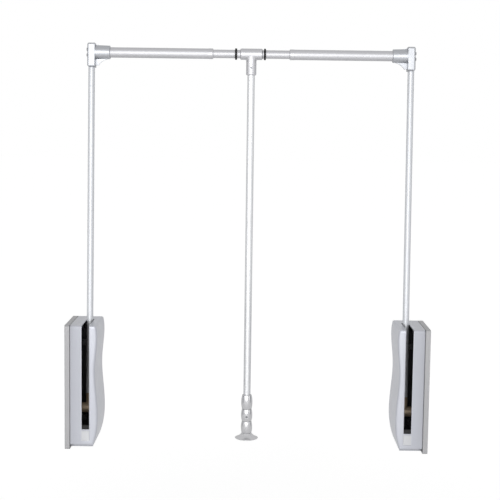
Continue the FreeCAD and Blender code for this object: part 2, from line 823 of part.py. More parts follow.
def arm_tube():
    top = "Dim.arm_reach - Dim.arm_top_gap"
    bore = "Dim.arm_dia - 2 * Dim.arm_wall"
    profile = upright(tube_profile("Dim.arm_start", top, "Dim.arm_dia", bore))
    tube = turned("arm_tube", profile, "V_Axis")
    at = ("-Dim.arm_dia", "0", "Dim.arm_pin_at")
    pin_hole = rod("arm_pin_hole", "Dim.arm_pin_dia + 2 * Dim.seat_gap", "2 * Dim.arm_dia", at)
    on_arm(cut("arm", tube, pin_hole), "left_arm_tube")
    at = (
        f"Dim.slot_u - Dim.arm_dia / 2 {LEFT_WALL}",
        "Dim.pivot_y + Dim.arm_pin_at * sin(Dim.arm_lean)",
        "Dim.pivot_z + Dim.arm_pin_at * cos(Dim.arm_lean)",
    )
    finish(rod("arm_pin", "Dim.arm_pin_dia", "Dim.arm_dia", at), "left_arm_pin")


# Drive: a rack behind the pivot, its guide, the gas strut and the damper.

def rack():
    module = size("tooth_module")
    pitch = math.pi * module
    pitch_y = size("pivot_y") + module * size("sector_teeth") / 2
    root_y = pitch_y + 1.25 * module
    tip_y = pitch_y - module
    slope = math.tan(math.radians(size("pressure_angle")))
    half_root = pitch / 4 + 1.25 * module * slope
    half_tip = pitch / 4 - module * slope
    low = size("pivot_z") - size("rack_below")
    high = size("pivot_z") + size("rack_above")
    first = -int((size("rack_below") - half_root) / pitch - 0.5)
    last = int((size("rack_above") - half_root) / pitch - 0.5)
    points = [Vector(0, root_y, low)]
    for number in range(first, last + 1):
        middle = size("pivot_z") + (number + 0.5) * pitch
        points.append(Vector(0, root_y, middle - half_root))
        points.append(Vector(0, tip_y, middle - half_tip))
        points.append(Vector(0, tip_y, middle + half_tip))
        points.append(Vector(0, root_y, middle + half_root))
    back_y = root_y + size("rack_back")
    points.append(Vector(0, root_y, high))
    points.append(Vector(0, back_y, high))
    points.append(Vector(0, back_y, low))
    points.append(points[0])
    feature = doc.addObject("Part::Feature", "rack_bar")
    feature.Shape = Part.Face(Part.makePolygon(points)).extrude(Vector(size("gear_width"), 0, 0))
    place(feature, "Dim.gear_u")
    seat_dia = "Dim.strut_rod_dia + 2 * Dim.seat_gap"
    at = (STRUT_U, STRUT_Y, f"{RACK_TOP_Z} - Dim.strut_rod_seat")
    seat = rod("rod_seat", seat_dia, "2 * Dim.strut_rod_seat", at, ALONG_Z)
    on_left_wall(cut("drive_rack", feature, seat), "left_drive_rack")


def rack_guide():
    low_z = "Dim.pivot_z - Dim.guide_low"
    high_z = f"{low_z} + Dim.guide_length"
    front_y = f"{PITCH_Y} + 1.25 * Dim.tooth_module + Dim.guide_setback"
    far_u = "Dim.gear_u + Dim.gear_width + Dim.slide_gap"
    block = box(
        "guide_block",
        ("Dim.plate_floor", front_y, low_z),
        (f"{far_u} + Dim.guide_wall", f"{RACK_BACK_Y} + Dim.slide_gap + Dim.guide_wall", high_z),
    )
    channel = box(
        "guide_channel",
        ("Dim.gear_u - Dim.slide_gap", f"{front_y} - Dim.guide_wall", f"{low_z} - Dim.guide_wall"),
        (far_u, f"{RACK_BACK_Y} + Dim.slide_gap", f"{high_z} + Dim.guide_wall"),
    )
    on_left_wall(cut("rack_guide", block, channel), "left_rack_guide")


def gas_strut():
    rod_start = f"{RACK_TOP_Z} - Dim.strut_rod_seat"
    at = (STRUT_U, STRUT_Y, rod_start)
    stem = rod("strut_stem", "Dim.strut_rod_dia", "Dim.strut_rod_length", at, ALONG_Z)
    piston_dia = "Dim.strut_dia - 2 * Dim.strut_wall - 2 * Dim.running_gap"
    piston_z = f"{rod_start} + Dim.strut_rod_length - Dim.strut_piston_thick"
    piston = rod("strut_piston", piston_dia, "Dim.strut_piston_thick", (STRUT_U, STRUT_Y, piston_z), ALONG_Z)
    on_left_wall(fuse("strut_rod", stem, piston), "left_gas_strut_rod")

    bore = "(Dim.strut_dia / 2 - Dim.strut_wall)"
    gland = "(Dim.strut_rod_dia / 2 + Dim.running_gap)"
    low = f"({RACK_TOP_Z} + Dim.strut_lift)"
    shoulder = f"{low} + Dim.strut_gland"
    top = "(Dim.plate_height - Dim.strut_headroom)"
    roof = f"{top} - Dim.strut_end"
    skin = "Dim.strut_dia / 2"
    shell = turned(
        "strut_shell",
        [
            (gland, low),
            (skin, low),
            (skin, top),
            ("0", top),
            ("0", roof),
            (bore, roof),
            (bore, shoulder),
            (gland, shoulder),
        ],
        "V_Axis",
    )
    place(shell, f"{STRUT_U} {LEFT_WALL}", STRUT_Y)
    finish(shell, "left_gas_strut_cylinder")

    around = "(Dim.strut_dia / 2 + Dim.bracket_wall)"
    low_z = f"{top} - Dim.bracket_seat"
    block = box(
        "bracket_block",
        ("Dim.plate_floor", f"{STRUT_Y} - {around}", low_z),
        (f"{STRUT_U} + {around}", f"{STRUT_Y} + {around}", f"{low_z} + Dim.bracket_height"),
    )
    at = (STRUT_U, STRUT_Y, f"{low_z} - Dim.bracket_seat")
    seat = rod("bracket_bore", "Dim.strut_dia + 2 * Dim.seat_gap", "2 * Dim.bracket_seat", at, ALONG_Z)
    on_left_wall(cut("strut_bracket", block, seat), "left_strut_bracket")


def damper():
    at = ("Dim.plate_floor", PINION_Y, PINION_Z)
    can = rod("damper_can", "Dim.damper_dia", "Dim.damper_face_u - Dim.plate_floor", at)
    reach = "(Dim.damper_dia / 2 + Dim.damper_ear)"
    shaft_u = "(Dim.plate_floor + Dim.damper_ear_thick)"
    ears = box(
        "damper_ears",
        ("Dim.plate_floor", f"{PINION_Y} - Dim.damper_ear / 2", f"{PINION_Z} - {reach}"),
        (shaft_u, f"{PINION_Y} + Dim.damper_ear / 2", f"{PINION_Z} + {reach}"),
    )
    bore_dia = "Dim.damper_shaft_dia + 2 * Dim.running_gap"
    bore = rod("damper_bore", bore_dia, "Dim.damper_face_u", (shaft_u, PINION_Y, PINION_Z))
    on_left_wall(cut("damper", fuse("damper_solid", can, ears), bore), "left_damper_body")

    teeth = int(size("pinion_teeth"))
    wheel = toothed("pinion_wheel", gear_edges(teeth, list(range(teeth))), size("gear_width"))
    place(wheel, "Dim.gear_u", PINION_Y, PINION_Z)
    start = f"{shaft_u} + Dim.slide_gap"
    shaft = rod("pinion_shaft", "Dim.damper_shaft_dia", f"Dim.gear_u - {start}", (start, PINION_Y, PINION_Z))
    on_left_wall(fuse("damper_pinion", wheel, shaft), "left_damper_pinion")


# Rubber bumpers at the two ends of the slot.

def bumpers():
    half = "(Dim.slot_width / 2 - Dim.slide_gap)"
    under_top = "(Dim.plate_height - Dim.case_wall)"
    arm_back = "(Dim.pivot_y + (Dim.plate_height - Dim.pivot_z) * tan(Dim.arm_lean)"
    arm_back += " + Dim.arm_dia / 2 / cos(Dim.arm_lean))"
    face_y = f"{arm_back} + Dim.bumper_gap"
    nose = box(
        "up_bumper_nose",
        (f"Dim.slot_u - {half}", face_y, f"{under_top} - Dim.bumper_height"),
        (f"Dim.slot_u + {half}", "Dim.slot_back_y", "Dim.plate_height - Dim.slot_lip"),
    )
    ledge = box(
        "up_bumper_ledge",
        (f"Dim.slot_u - {half}", face_y, f"{under_top} - Dim.bumper_height"),
        (f"Dim.slot_u + {half}", "Dim.slot_back_y + Dim.bumper_ledge", under_top),
    )
    on_left_wall(fuse("up_bumper", nose, ledge), "left_up_bumper")

    front = f"-{HALF_DEPTH}"
    inside = f"{front} + Dim.case_wall"
    sill = box(
        "down_bumper_sill",
        (f"Dim.slot_u - {half}", f"{front} + Dim.slot_lip", "Dim.slot_bottom_z"),
        (
            f"Dim.slot_u + {half}",
            f"{inside} + Dim.bumper_ledge",
            "Dim.slot_bottom_z + Dim.down_bumper_thick - Dim.bumper_gap",
        ),
    )
    apron = box(
        "down_bumper_apron",
        (f"Dim.slot_u - {half}", inside, "Dim.slot_bottom_z - Dim.bumper_height"),
        (f"Dim.slot_u + {half}", f"{inside} + Dim.bumper_ledge", "Dim.slot_bottom_z"),
    )
    on_left_wall(fuse("down_bumper", sill, apron), "left_down_bumper")


# Rail connector: a block on the arm with a cup that takes the outer rail tube.

def connector():
    half = "Dim.block_width / 2"
    body = new_body("connector_block")
    sketch = new_sketch(body, "block_outline", "XZ_Plane")
    draw_rectangle(sketch, (f"-{half}", "-Dim.block_below"), (half, "Dim.block_above"))
    extrude(body, "block", sketch, "Dim.block_depth", "Pad", True)

    def corner(edge):
        return edge.BoundBox.Center.x < size("block_width") / 2 - 0.01

    dress(body, "block_rounds", "Fillet", "Dim.block_round", corner)

    cup_end = f"({half} + Dim.cup_length)"
    cup = turned(
        "connector_cup",
        [("0", "0"), (cup_end, "0"), (cup_end, "Dim.cup_tip_dia / 2"), ("0", "Dim.cup_root_dia / 2")],
    )
    tip_x = size("block_width") / 2 + size("cup_length")
    dress(cup, "cup_lip", "Fillet", "Dim.cup_lip", rim("x", tip_x, size("cup_tip_dia")))

    side = "Dim.web_thick / 2"
    web_top = "-Dim.rail_dia / 2"
    web = box("web_block", ("0", f"-{side}", "-Dim.block_below + Dim.block_round"), (cup_end, side, web_top))
    at = (f"{cup_end} - Dim.cup_lip", "-Dim.block_depth", "-Dim.cup_tip_dia / 2 - Dim.web_round")
    hollow = rod("web_hollow", "2 * Dim.web_round", "2 * Dim.block_depth", at, ALONG_Y)
    strip = box(
        "web_tip",
        (f"{cup_end} - Dim.cup_lip", f"-{side}", "-Dim.block_below"),
        (f"{cup_end} + Dim.cup_lip", side, "0"),
    )
    gusset = cut("gusset", web, hollow, strip)
    rib = new_body("upper_web")
    sketch = new_sketch(rib, "upper_web_outline", "XZ_Plane")
    draw_polygon(
        sketch,
        [
            ("0", "0"),
            (f"{half} + Dim.upper_web_length", "Dim.cup_tip_dia / 2 - Dim.cup_lip"),
            (f"{half} - Dim.block_round", "Dim.block_above - Dim.upper_web_drop"),
        ],
    )
    extrude(rib, "upper_web_pad", sketch, "Dim.web_thick", "Pad", True)

    solid = fuse("connector_solid", body, cup, gusset, rib)
    bore_dia = "Dim.rail_dia + 2 * Dim.seat_gap"
    rail_bore = rod("rail_bore", bore_dia, "2 * Dim.cup_length", ("Dim.rail_seat", "0", "0"))
    arm_bore = rod(
        "arm_bore",
        "Dim.arm_dia + 2 * Dim.seat_gap",
        "Dim.block_below",
        ("0", "0", "-Dim.arm_top_gap - Dim.block_below"),
        ALONG_Z,
    )
    holes = []
    for number in range(2):
        up = f"({number} - 0.5) * Dim.connector_screw_spread"
        shank_dia = "Dim.screw_shank_dia + 2 * Dim.slide_gap"
        start = ("-Dim.block_width", "0", up)
        holes.append(rod(f"screw_way{number}", shank_dia, "2 * Dim.block_width", start))
    on_arm_top(cut("rail_connector", solid, rail_bore, arm_bore, *holes), "left_rail_connector")


def connector_screws():
    half = "Dim.block_width / 2"
    outside = f"-{half} - Dim.connector_head_height"
    top_x = -size("block_width") / 2 - size("connector_head_height")
    screws = []
    for number in range(2):
        up = f"({number} - 0.5) * Dim.connector_screw_spread"
        profile = tube_profile(outside, f"-{half}", "Dim.connector_head_dia", "0")
        head = turned(f"connector_head{number}", profile)
        crown = rim("x", top_x, size("connector_head_dia"))
        dress(head, f"connector_crown{number}", "Fillet", "Dim.connector_head_round", crown)
        place(head, "0", "0", up)
        length = "Dim.connector_screw_length"
        shank = rod(f"connector_shank{number}", "Dim.screw_shank_dia", length, (f"-{half}", "0", up))
        solid = fuse(f"connector_screw_solid{number}", head, shank)
        long_arm = "Dim.connector_head_dia / 3"
        thin_arm = "Dim.connector_head_dia / 12"
        tools = []
        for turn, (wide, tall) in enumerate(((long_arm, thin_arm), (thin_arm, long_arm))):
            low = (f"{outside} - Dim.connector_cross_depth", f"-{wide}", f"{up} - {tall}")
            high = (f"{outside} + Dim.connector_cross_depth", wide, f"{up} + {tall}")
            tools.append(box(f"connector_cross{number}{turn}", low, high))
        screws.append(cut(f"connector_screw{number}", solid, *tools))
    on_arm_top(fuse("connector_screws", *screws), "left_connector_screws")


def outer_rail():
    bore = "(Dim.rail_dia - 2 * Dim.rail_wall)"
    tube = turned("outer_tube", tube_profile("Dim.rail_seat", TUBE_END, "Dim.rail_dia", bore))
    on_arm_top(tube, "left_outer_tube")

    plug_dia = f"({bore} - 2 * Dim.seat_gap)"
    plug = rod("rail_plug", plug_dia, "Dim.plug_length", ("Dim.rail_seat", "0", "0"))
    holes = []
    for number in range(2):
        up = f"({number} - 0.5) * Dim.connector_screw_spread"
        dia = "Dim.screw_shank_dia + 2 * Dim.seat_gap"
        depth = "-Dim.block_width / 2 + Dim.connector_screw_length"
        holes.append(rod(f"plug_hole{number}", dia, depth, ("0", "0", up)))
    on_arm_top(cut("plug", plug, *holes), "left_rail_plug")

    slip = "(Dim.inner_dia / 2 + Dim.running_gap)"
    sleeve = f"({bore} / 2 - Dim.seat_gap)"
    collar = turned(
        "tube_collar",
        [
            (f"{TUBE_END} - Dim.collar_sleeve", slip),
            (COLLAR_END, slip),
            (COLLAR_END, "Dim.collar_dia / 2"),
            (TUBE_END, "Dim.collar_dia / 2"),
            (TUBE_END, sleeve),
            (f"{TUBE_END} - Dim.collar_sleeve", sleeve),
        ],
    )
    end_x = (size("overall_width") - size("rail_gap")) / 2 - size("slot_u")
    dress(collar, "collar_nose", "Fillet", "Dim.collar_round", rim("x", end_x, size("collar_dia")))
    on_arm_top(collar, "left_tube_collar")


# Middle of the rail, with the tee and the pull rod.

def inner_rail():
    half = "Dim.inner_length / 2"
    bore = "Dim.inner_dia - 2 * Dim.inner_wall"
    tube = turned("inner_tube", tube_profile(f"-{half}", half, "Dim.inner_dia", bore))
    on_rail(tube, "inner_tube")
    rings = []
    for number, side in enumerate((-1, 1)):
        middle = f"Dim.ring_shift + {side} * Dim.ring_at"
        ring = turned(
            f"ring{number}",
            tube_profile(
                f"{middle} - Dim.ring_width / 2",
                f"{middle} + Dim.ring_width / 2",
                "Dim.ring_dia",
                "Dim.inner_dia + 2 * Dim.seat_gap",
            ),
        )
        dress(ring, f"ring_edge{number}", "Fillet", "Dim.ring_round", big_circle(size("ring_dia")))
        rings.append(ring)
    on_rail(fuse("stop_rings", *rings), "stop_rings")


def big_circle(dia):
    """A test for all circular edges of one diameter."""
    def chosen(edge):
        return isinstance(edge.Curve, Part.Circle) and near(edge.Curve.Radius, dia / 2)
    return chosen


def blended(name, solid, radius):
    """Round the edges where two round bars run into each other."""
    doc.recompute()
    edges = enumerate(solid.Shape.Edges, start=1)
    seams = [number for number, edge in edges if not isinstance(edge.Curve, (Part.Circle, Part.Line))]
    feature = doc.addObject("Part::Fillet", name)
    feature.Base = solid
    feature.Edges = [(number, radius, radius) for number in seams]
    return feature


def tee():
    half = "Dim.tee_length / 2"
    sleeve = turned("tee_sleeve", tube_profile(f"-{half}", half, "Dim.tee_dia", "0"))
    dress(sleeve, "tee_ends", "Fillet", "Dim.tee_round", big_circle(size("tee_dia")))
    profile = tube_profile("0", "-Dim.tee_stem_drop", "Dim.tee_stem_dia", "0")
    stem = turned("tee_stem", upright(profile), "V_Axis")
    dress(stem, "stem_end", "Fillet", "Dim.tee_round", rim("z", -size("tee_stem_drop"), size("tee_stem_dia")))
    solid = blended("tee_blend", fuse("tee_solid", sleeve, stem), size("tee_blend"))
    bore_dia = "Dim.inner_dia + 2 * Dim.running_gap"
    bore = rod("tee_bore", bore_dia, "2 * Dim.tee_length", ("-Dim.tee_length", "0", "0"))
    seat_at = ("0", "0", "-Dim.rod_top_drop - Dim.tee_stem_drop")
    seat = rod("tee_seat", "Dim.rod_dia + 2 * Dim.seat_gap", "Dim.tee_stem_drop", seat_at, ALONG_Z)
    front = ("0", "-Dim.tee_stem_dia", "-Dim.set_screw_drop")
    way = rod("set_screw_way", "Dim.set_screw_dia + 2 * Dim.seat_gap", "Dim.tee_stem_dia", front, ALONG_Y)
    on_rail(cut("tee", solid, bore, seat, way), "tee_fitting")

    start = "-Dim.tee_stem_dia / 2 + Dim.set_screw_recess"
    length = f"-Dim.rod_dia / 2 - Dim.seat_gap - ({start})"
    at = ("0", start, "-Dim.set_screw_drop")
    screw = rod("set_screw_body", "Dim.set_screw_dia", length, at, ALONG_Y)
    key = rod("set_screw_key", "Dim.set_screw_dia / 2", f"({length}) / 2", at, ALONG_Y)
    on_rail(cut("set_screw", screw, key), "tee_set_screw")


def pull_rod():
    low = "-Dim.handle_drop + Dim.rod_seat_height"
    bore = "Dim.rod_dia - 2 * Dim.rod_wall"
    profile = upright(tube_profile(low, "-Dim.rod_top_drop", "Dim.rod_dia", bore))
    on_rail(turned("pull_rod", profile, "V_Axis"), "pull_rod")


def handle():
    base = -size("handle_drop")
    under = size("foot_under_dia") / 2
    rim_point = (size("foot_dia") / 2, base + size("foot_rim_height"))
    neck = (size("lobe_end_dia") / 2, base + size("foot_height"))
    flare_middle = (size("flare_mid_dia") / 2, base + size("flare_mid_height"))
    spigot = size("foot_spigot_dia") / 2
    spigot_top = neck[1] + size("foot_spigot")
    foot = turned_curve(
        "handle_foot",
        (0, base),
        (under, base),
        rim_point,
        (flare_middle, neck),
        (spigot, neck[1]),
        (spigot, spigot_top),
        (0, spigot_top),
    )
    dress(foot, "foot_edge", "Fillet", "Dim.foot_round", big_circle(size("foot_dia")))
    on_rail(foot, "handle_foot")

    seat = size("rod_dia") / 2 + size("seat_gap")
    socket = spigot + size("seat_gap")
    waist = size("lobe_end_dia") / 2
    groove = waist - size("lobe_groove_depth")
    half_groove = size("lobe_groove_width") / 2
    tops = [base + size("lobe_low_top"), base + size("lobe_middle_top"), base + size("handle_height")]
    steps = [neck]
    start = neck[1]
    for top in tops[:2]:
        crown = (size("lobe_mid_dia") / 2, (start + top) / 2)
        steps.append((crown, (waist, top - half_groove)))
        steps.append((groove, top - half_groove))
        steps.append((groove, top + half_groove))
        steps.append((waist, top + half_groove))
        start = top
    crown = (size("lobe_mid_dia") / 2, (start + tops[2]) / 2)
    steps.append((crown, (size("grip_top_dia") / 2, tops[2])))
    rod_end = base + size("rod_seat_height")
    steps += [(seat, tops[2]), (seat, rod_end), (socket, rod_end)]
    grip = turned_curve("handle_grip", (socket, neck[1]), *steps)
    dress(grip, "grip_edge", "Fillet", "Dim.grip_round", rim("z", tops[2], size("grip_top_dia")))
    middle = "-Dim.handle_drop + Dim.handle_screw_height"
    front = ("0", "-Dim.lobe_mid_dia", middle)
    way = rod("handle_screw_way", "Dim.set_screw_dia + 2 * Dim.seat_gap", "Dim.lobe_mid_dia", front, ALONG_Y)
    on_rail(cut("grip", grip, way), "handle_grip")

    start = "-Dim.lobe_mid_dia / 2 + Dim.set_screw_recess"
    length = f"-Dim.rod_dia / 2 - Dim.seat_gap - ({start})"
    at = ("0", start, middle)
    screw = rod("handle_screw_body", "Dim.set_screw_dia", length, at, ALONG_Y)
    key = rod("handle_screw_key", "Dim.set_screw_dia / 2", f"({length}) / 2", at, ALONG_Y)
    on_rail(cut("handle_screw", screw, key), "handle_screw")


wall_plate()
case()
case_screws()
pivot()
swing_lever()
arm_tube()
rack()
rack_guide()
gas_strut()
damper()
bumpers()
connector()
connector_screws()
outer_rail()

for label, source in list(finished.items()):
    twin = doc.addObject("Part::Mirroring", label.replace("left_", "right_"))
    twin.Source = source
    twin.Normal = Vector(1, 0, 0)
    finish(twin, label.replace("left_", "right_"))

inner_rail()
tee()
pull_rod()
handle()

doc.recompute()
for item in doc.Objects:
    if "Invalid" in item.State or "Error" in item.State:
        raise RuntimeError(f"{item.Label} failed: {item.State}")
for label, item in finished.items():
    if item.Shape.isNull() or not item.Shape.isValid():
        raise RuntimeError(f"{label} has no valid shape")

os.makedirs("parts", exist_ok=True)
for label, item in finished.items():
    item.Shape.exportStep(f"parts/{label}.step")
    print(label, len(item.Shape.Solids), round(item.Shape.Volume))
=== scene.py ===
import math

import bpy
from mathutils import Matrix, Vector

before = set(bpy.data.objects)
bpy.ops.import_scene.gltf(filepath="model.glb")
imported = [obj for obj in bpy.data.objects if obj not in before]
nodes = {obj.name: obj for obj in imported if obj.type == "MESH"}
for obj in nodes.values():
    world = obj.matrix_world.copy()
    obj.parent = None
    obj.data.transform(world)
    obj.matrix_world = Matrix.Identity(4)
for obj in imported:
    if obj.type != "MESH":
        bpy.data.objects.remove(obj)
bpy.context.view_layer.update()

scene = bpy.context.scene
WHITE = (1, 1, 1, 1)


# Materials. Texture coordinates are metres in the part's own frame, so a noise scale counts
# features per metre, and relief, edge radii and places are in metres.

PAINT_CLOUDS = 14
SHEEN_PATCHES = 60
PLASTIC_GRAIN = 1600
PAINT_FLAKES = 2600
TUBE_CLOUDS = 9
CAST_CLOUDS = 35
CAST_SKIN = 700

# Lines on a tube: few features along the axis they run on, and many across it.
ALONG_X = (6, 2600, 2600)
ALONG_Z = (2600, 2600, 6)

FLAKE_DEPTH = 0.000004
LINE_DEPTH = 0.0000006
EDGE_SAMPLES = 6
PAINT_REFLECTION = (0.75, 0.75, 0.75, 1)
METAL_REFLECTION = (0.7, 0.7, 0.7, 1)

# Most values of a noise texture lie between these two.
NOISE_LOW = 0.3
NOISE_HIGH = 0.7


class Shader:
    """A new material with one Principled shader, and short ways to add nodes to it."""

    def __init__(self, name):
        self.material = bpy.data.materials.new(name)
        self.material.use_nodes = True
        self.tree = self.material.node_tree
        self.surface = self.tree.nodes["Principled BSDF"]
        self.coordinates = self.add("ShaderNodeTexCoord").outputs["Object"]

    def add(self, kind, **settings):
        node = self.tree.nodes.new(kind)
        for key, value in settings.items():
            setattr(node, key, value)
        return node

    def link(self, source, target):
        self.tree.links.new(source, target)

    def set(self, **values):
        """Shader inputs that are the same all over."""
        for name, value in values.items():
            self.surface.inputs[name.replace("_", " ")].default_value = value

    def feed(self, name, socket):
        """A shader input that varies over the surface."""
        self.link(socket, self.surface.inputs[name])

    def parts(self, vector):
        """The X, Y and Z of a vector."""
        node = self.add("ShaderNodeSeparateXYZ")
        self.link(vector, node.inputs[0])
        return node.outputs

    def stretched(self, scale):
        """Coordinates scaled along each axis, so that a texture runs as streaks."""
        mapping = self.add("ShaderNodeMapping")
        mapping.inputs["Scale"].default_value = scale
        self.link(self.coordinates, mapping.inputs["Vector"])
        return mapping.outputs["Vector"]

    def noise(self, scale, detail=3.0, roughness=0.5, vector=None):
        node = self.add("ShaderNodeTexNoise")
        node.inputs["Scale"].default_value = scale
        node.inputs["Detail"].default_value = detail
        node.inputs["Roughness"].default_value = roughness
        self.link(vector or self.coordinates, node.inputs["Vector"])
        return node.outputs["Fac"]

    def span(self, value, low, high, start=NOISE_LOW, end=NOISE_HIGH):
        """A value mapped from one range to another."""
        node = self.add("ShaderNodeMapRange")
        node.inputs["From Min"].default_value = start
        node.inputs["From Max"].default_value = end
        node.inputs["To Min"].default_value = low
        node.inputs["To Max"].default_value = high
        self.link(value, node.inputs["Value"])
        return node.outputs["Result"]

    def blend(self, factor, first, second):
        """A colour between two, each a socket or a plain colour."""
        node = self.add("ShaderNodeMix", data_type="RGBA")
        for socket, colour in (("A_Color", first), ("B_Color", second)):
            target = next(i for i in node.inputs if i.identifier == socket)
            if isinstance(colour, tuple):
                target.default_value = (*colour, 1)
            else:
                self.link(colour, target)
        self.link(factor, next(i for i in node.inputs if i.identifier == "Factor_Float"))
        return next(o for o in node.outputs if o.identifier == "Result_Color")

    def shades(self, clouds, colour, dark, light):
        """A colour that drifts between a darker and a lighter shade of itself."""
        return self.blend(clouds, tint(colour, dark), tint(colour, light))

    def math(self, operation, *values):
        """One sum, from sockets or plain numbers."""
        node = self.add("ShaderNodeMath", operation=operation)
        for target, value in zip(node.inputs, values):
            if isinstance(value, (int, float)):
                target.default_value = value
            else:
                self.link(value, target)
        return node.outputs["Value"]

    def within(self, box):
        """1 in a box and in its mirror image: a middle and a half size along each axis."""
        where = self.parts(self.coordinates)
        inside = 1.0
        for axis, (middle, half) in box.items():
            place = where[axis]
            if axis == "X":
                place = self.math("ABSOLUTE", place)
            inside = self.math("MULTIPLY", inside, self.math("COMPARE", place, middle, half))
        return inside

    def bump(self, height, depth, normal=None):
        """Relief of a depth in metres."""
        node = self.add("ShaderNodeBump")
        node.inputs["Strength"].default_value = 1.0
        node.inputs["Distance"].default_value = depth
        self.link(height, node.inputs["Height"])
        if normal:
            self.link(normal, node.inputs["Normal"])
        self.feed("Normal", node.outputs["Normal"])
        return node.outputs["Normal"]

    def softened(self, radius):
        """Normals rounded over at sharp edges, as paint rounds them."""
        node = self.add("ShaderNodeBevel", samples=EDGE_SAMPLES)
        node.inputs["Radius"].default_value = radius
        return node.outputs["Normal"]


def tint(colour, factor):
    """A lighter or darker shade of a colour."""
    return tuple(min(1.0, channel * factor) for channel in colour)


def srgb(red, green, blue):
    """A linear colour from 0 to 255 display values, by the sRGB curve."""
    out = []
    for value in (red, green, blue):
        value /= 255
        out.append(value / 12.92 if value <= 0.04045 else ((value + 0.055) / 1.055) ** 2.4)
    return tuple(out)


def inner_faces(shader, tests):
    """1 on the faces inside a housing, told by which way they look.

    A test is an axis, the level that parts its two sides, and 1 where the faces that look away
    from that level are inside, or -1 where those that look towards it are.
    """
    coordinates = shader.add("ShaderNodeTexCoord")
    where = shader.parts(coordinates.outputs["Object"])
    facing = shader.parts(coordinates.outputs["Normal"])
    found = 0.0
    for axis, level, way in tests:
        side = shader.math("SIGN", shader.math("SUBTRACT", where[axis], level))
        outward = shader.math("MULTIPLY", side, facing[axis])
        hit = shader.math("GREATER_THAN", shader.math("MULTIPLY", outward, way), 0.5)
        found = shader.math("MAXIMUM", found, hit)
    return found


def crown_height(shader, ridge, bend):
    """Height of a crowned face, which falls away from a ridge on both sides.

    The ridge is a distance from the part's middle along X, and the fall is bend times the square
    of the distance from the ridge.
    """
    from_middle = shader.math("ABSOLUTE", shader.parts(shader.coordinates)["X"])
    off = shader.math("SUBTRACT", from_middle, ridge)
    return shader.math("MULTIPLY", shader.math("MULTIPLY", off, off), -bend)


def moulded(name, colour, roughness, grain=0.00002, specular=0.5):
    """Moulded or painted plastic with a fine texture and faint cloudiness."""
    shader = Shader(name)
    clouds = shader.noise(PAINT_CLOUDS, detail=2)
    patches = shader.noise(SHEEN_PATCHES, detail=4)
    shader.feed("Base Color", shader.shades(clouds, colour, dark=0.96, light=1.03))
    shader.feed("Roughness", shader.span(patches, roughness - 0.05, roughness + 0.05))
    shader.bump(shader.noise(PLASTIC_GRAIN, detail=2, roughness=0.6), grain)
    shader.set(Specular_IOR_Level=specular)
    return shader.material


def silver_paint(name, colour, roughness, metallic, edge=0.0012, inside=None, crown=None, pad=None):
    """Silver paint on plastic: fine flakes in a satin coat.

    Inside a housing it is bare plastic in a dark grey that also stands as painted shade. A crown is
    a soft swell of the face, and a pad a patch of plain light plastic.
    """
    shader = Shader(name)
    clouds = shader.noise(PAINT_CLOUDS, detail=2)
    skin = shader.shades(clouds, colour, dark=0.97, light=1.02)
    if pad:
        skin = shader.blend(shader.within(pad), skin, PAD_COLOUR)
    if inside:
        inner = inner_faces(shader, inside)
        # Inner faces take a dark grey: bare plastic, and painted shade of the closed housing.
        skin = shader.blend(inner, skin, BARE_PLASTIC_AND_SHADE)
        shader.feed("Metallic", shader.span(inner, metallic, 0.0, start=0.0, end=1.0))
    else:
        shader.set(Metallic=metallic)
    shader.feed("Base Color", skin)
    patches = shader.noise(SHEEN_PATCHES, detail=4)
    shader.feed("Roughness", shader.span(patches, roughness - 0.03, roughness + 0.03))
    normal = shader.softened(edge)
    if crown:
        normal = shader.bump(crown_height(shader, *crown), 1.0, normal)
    shader.bump(shader.noise(PAINT_FLAKES, detail=2, roughness=0.7), FLAKE_DEPTH, normal)
    shader.set(Specular_Tint=PAINT_REFLECTION)
    return shader.material


def drawn(name, colour, roughness, streak, metallic=1.0):
    """Drawn metal tube: fine lines along its length on a satin face."""
    shader = Shader(name)
    lines = shader.noise(1, detail=5, roughness=0.65, vector=shader.stretched(streak))
    clouds = shader.noise(TUBE_CLOUDS, detail=2)
    shader.feed("Base Color", shader.shades(clouds, colour, dark=0.94, light=1.04))
    shader.feed("Roughness", shader.span(lines, roughness - 0.03, roughness + 0.03))
    shader.bump(lines, LINE_DEPTH)
    shader.set(Metallic=metallic, Specular_Tint=METAL_REFLECTION)
    return shader.material


def cast(name, colour, roughness, grain=0.00001, metallic=1.0):
    """Cast or turned metal with a satin face and a fine orange-peel skin."""
    shader = Shader(name)
    clouds = shader.noise(CAST_CLOUDS)
    shader.feed("Base Color", shader.shades(clouds, colour, dark=0.93, light=1.05))
    shader.feed("Roughness", shader.span(clouds, roughness - 0.05, roughness + 0.07))
    shader.bump(shader.noise(CAST_SKIN, roughness=0.55), grain)
    shader.set(Metallic=metallic, Specular_Tint=METAL_REFLECTION)
    return shader.material


# The two housings: the dark grey of their inner faces, bare plastic and partly painted shade,
# their halfway height, which way their inner faces look, the ridge and bend of the case's crown,
# and the pad below the arm slot.
BARE_PLASTIC_AND_SHADE = srgb(66, 66, 70)
HALF_HEIGHT = 0.134
CASE_INSIDE = (("X", 0.0, 1), ("Y", 0.0, -1), ("Z", HALF_HEIGHT, -1))
PLATE_INSIDE = (("X", 0.0, -1), ("Y", 0.0, -1), ("Z", HALF_HEIGHT, -1))
CASE_CROWN = (0.331, 7.0)
CASE_EDGE = 0.003
PAD_COLOUR = srgb(203, 204, 207)
PAD = {"X": (0.3435, 0.0085), "Y": (-0.065, 0.01), "Z": (0.03, 0.011)}

